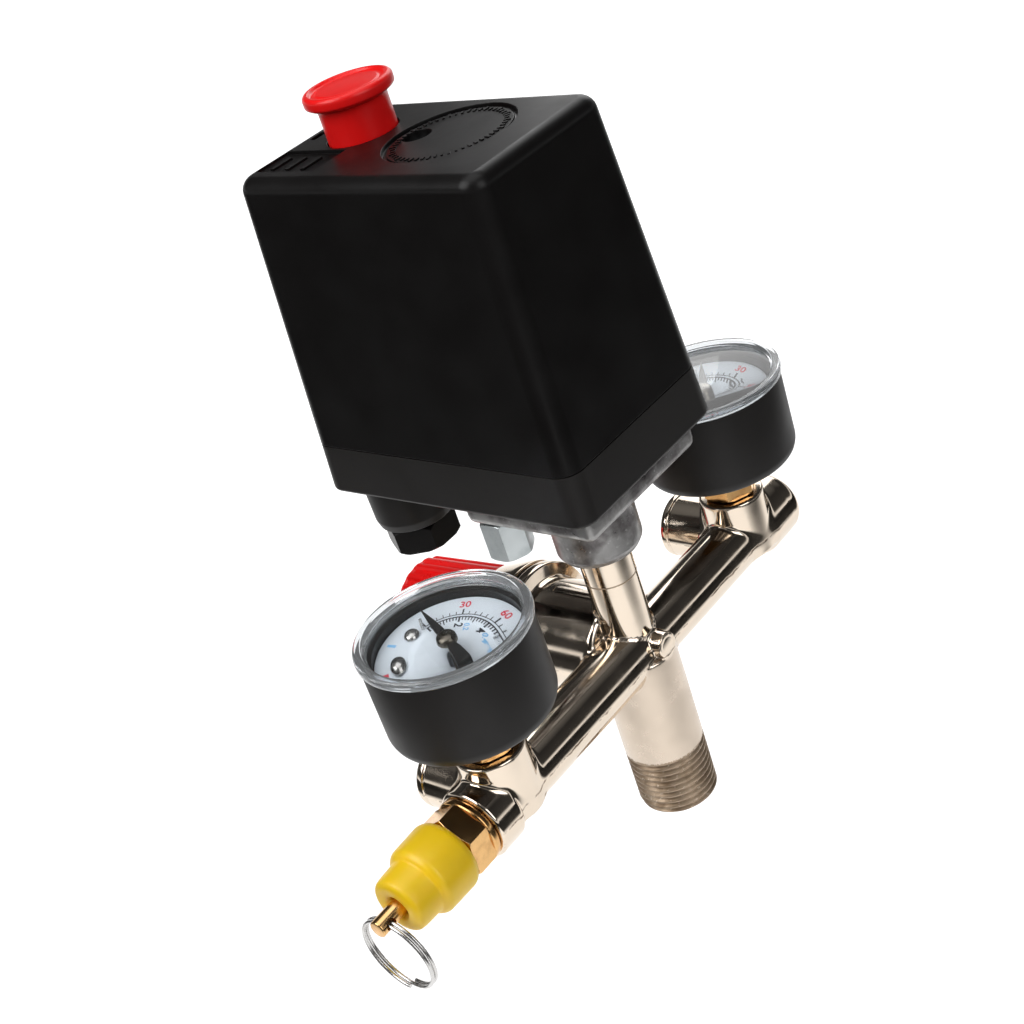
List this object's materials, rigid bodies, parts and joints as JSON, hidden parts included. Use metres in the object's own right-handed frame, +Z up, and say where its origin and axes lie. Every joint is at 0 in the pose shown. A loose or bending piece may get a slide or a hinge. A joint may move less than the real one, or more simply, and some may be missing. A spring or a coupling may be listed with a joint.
{
  "type": "pressure switch",
  "caption": "Compressor pressure switch on a nickel-plated manifold with dial gauges, a pressure regulator, a ring-pull safety valve, hose outlets and a threaded tank nipple.",
  "frame": {"origin": "centre of the lower end of the threaded tank nipple", "axes": "+Z up the nipple and pipe to the switch, +X along the manifold bar towards the safety valve, -Y towards the regulator knob and the hose outlets"},
  "size_m": [0.1719, 0.095, 0.196],
  "materials": {
    "black_plastic": "satin moulded",
    "red_plastic": "semi-gloss moulded",
    "yellow_plastic": "satin moulded",
    "clear_plastic": "clear moulded",
    "white_print": "printed white dial",
    "beige_plastic": "moulded",
    "nickel": "nickel-plated casting",
    "die_cast": "as cast",
    "zinc": "bright zinc",
    "steel": "bright",
    "brass": "machined",
    "rubber": "moulded",
    "black_paint": "matt"
  },
  "bodies": {
    "housing": {"manifold_body": "nickel", "regulator_valve_plug": "nickel", "regulator_diaphragm": "rubber", "regulator_bonnet": "nickel", "regulator_spring": "steel", "supply_gauge_case": "black_plastic", "supply_gauge_lens": "clear_plastic", "supply_gauge_dial": "white_print", "supply_gauge_dial_screw_a": "steel", "supply_gauge_dial_screw_b": "steel", "supply_gauge_stem": "brass", "supply_gauge_bourdon_tube": "brass", "supply_gauge_movement": "brass", "outlet_gauge_case": "black_plastic", "outlet_gauge_lens": "clear_plastic", "outlet_gauge_dial": "white_print", "outlet_gauge_dial_screw_a": "steel", "outlet_gauge_dial_screw_b": "steel", "outlet_gauge_stem": "brass", "outlet_gauge_bourdon_tube": "brass", "outlet_gauge_movement": "brass", "relief_body": "brass", "relief_cap": "yellow_plastic", "relief_spring": "steel", "base_housing": "black_plastic", "cover": "black_plastic", "cover_screw": "zinc", "die_cast_base": "die_cast", "unloader_nut": "zinc", "gland_nut": "black_plastic", "gland_seal": "rubber", "pressure_diaphragm": "rubber", "mechanism_frame": "steel", "lever_pivot_pin": "steel", "range_stud": "zinc", "range_spring": "steel", "terminal_block": "black_plastic", "terminal_screw_1": "brass", "terminal_screw_2": "brass", "terminal_screw_3": "brass", "terminal_screw_4": "brass"},
    "power_knob": {"power_knob": "red_plastic"},
    "regulator_knob": {"regulator_knob": "red_plastic", "regulator_screw": "zinc"},
    "regulator_nut": {"regulator_spring_nut": "zinc"},
    "regulator_valve": {"regulator_poppet": "brass", "regulator_diaphragm_plate": "steel"},
    "supply_pointer": {"supply_gauge_pointer": "black_paint"},
    "supply_sector": {"supply_gauge_sector": "brass"},
    "outlet_pointer": {"outlet_gauge_pointer": "black_paint"},
    "outlet_sector": {"outlet_gauge_sector": "brass"},
    "relief_pin": {"relief_pull_pin": "brass", "relief_seal": "rubber"},
    "relief_ring": {"relief_ring": "steel"},
    "rocker": {"rocker_lever": "steel"},
    "pressure_piston": {"pressure_piston": "beige_plastic"},
    "contact_bridge": {"contact_bridge": "brass"},
    "unloader_pin": {"unloader_pin": "steel"},
    "range_seat": {"range_spring_seat": "zinc"},
    "range_nut": {"range_nut": "zinc"}
  },
  "joints": [
    {"name": "power_knob_slide", "type": "slide", "parent": "housing", "child": "power_knob", "axis": [0, 0, 1], "range_m": [-0.006, 0]},
    {"name": "regulator_knob_turn", "type": "hinge", "parent": "housing", "child": "regulator_knob", "pos_m": [0, 0, 0.0478], "axis": [0, -1, 0], "range_deg": [-720, 720]},
    {"name": "regulator_nut_slide", "type": "slide", "parent": "housing", "child": "regulator_nut", "axis": [0, -1, 0], "range_m": [-0.0026, 0.0026], "deforming": ["regulator_spring"]},
    {"name": "regulator_valve_slide", "type": "slide", "parent": "housing", "child": "regulator_valve", "axis": [0, 1, 0], "range_m": [0, 0.0008], "stiffness_N_per_m": 500, "deforming": ["regulator_diaphragm", "regulator_spring"]},
    {"name": "supply_pointer_turn", "type": "hinge", "parent": "housing", "child": "supply_pointer", "pos_m": [0.0546, 0.001, 0.0914], "axis": [0, 0, 1], "range_deg": [-270, 0], "stiffness_Nm_per_rad": 0.00002},
    {"name": "supply_sector_turn", "type": "hinge", "parent": "housing", "child": "supply_sector", "pos_m": [0.0546, 0.0085, 0.082], "axis": [0, 0, 1], "range_deg": [-1, 35]},
    {"name": "outlet_pointer_turn", "type": "hinge", "parent": "housing", "child": "outlet_pointer", "pos_m": [-0.0507, 0.001, 0.0914], "axis": [0, 0, 1], "range_deg": [-270, 0], "stiffness_Nm_per_rad": 0.00002},
    {"name": "outlet_sector_turn", "type": "hinge", "parent": "housing", "child": "outlet_sector", "pos_m": [-0.0507, 0.0085, 0.082], "axis": [0, 0, 1], "range_deg": [-1, 35]},
    {"name": "relief_pin_pull", "type": "slide", "parent": "housing", "child": "relief_pin", "axis": [1, 0, 0], "range_m": [0, 0.0025], "stiffness_N_per_m": 400, "deforming": ["relief_spring"]},
    {"name": "relief_ring_swing", "type": "hinge", "parent": "relief_pin", "child": "relief_ring", "pos_m": [0.098, 0.001, 0.0478], "axis": [0, -1, 0], "range_deg": [-25, 90]},
    {"name": "rocker_tilt", "type": "hinge", "parent": "housing", "child": "rocker", "pos_m": [0, 0.015, 0.1193], "axis": [-1, 0, 0], "range_deg": [0, 4], "stiffness_Nm_per_rad": 0.5, "deforming": ["range_spring"]},
    {"name": "pressure_piston_rise", "type": "slide", "parent": "housing", "child": "pressure_piston", "axis": [0, 0, 1], "range_m": [0, 0.0009], "deforming": ["pressure_diaphragm"]},
    {"name": "contact_bridge_rise", "type": "slide", "parent": "housing", "child": "contact_bridge", "axis": [0, 0, 1], "range_m": [0, 0.0037]},
    {"name": "unloader_pin_rise", "type": "slide", "parent": "housing", "child": "unloader_pin", "axis": [0, 0, 1], "range_m": [0, 0.0019]},
    {"name": "range_seat_slide", "type": "slide", "parent": "housing", "child": "range_seat", "axis": [0, 0, 1], "range_m": [-0.003, 0.003], "deforming": ["range_spring"]},
    {"name": "range_nut_turn", "type": "hinge", "parent": "range_seat", "child": "range_nut", "pos_m": [-0.002, -0.0173, 0.155], "axis": [0, 0, 1], "range_deg": [-1090, 1090]}
  ],
  "couplings": [
    {"joint": "regulator_nut_slide", "follows": "regulator_knob_turn", "m_per_rad": 0.0001989},
    {"joint": "supply_sector_turn", "follows": "supply_pointer_turn", "ratio": -0.125},
    {"joint": "outlet_sector_turn", "follows": "outlet_pointer_turn", "ratio": -0.125},
    {"joint": "pressure_piston_rise", "follows": "rocker_tilt", "m_per_rad": 0.0125},
    {"joint": "contact_bridge_rise", "follows": "rocker_tilt", "m_per_rad": 0.052},
    {"joint": "unloader_pin_rise", "follows": "rocker_tilt", "m_per_rad": 0.0265},
    {"joint": "range_nut_turn", "follows": "range_seat_slide", "rad_per_m": 6283.2}
  ]
}
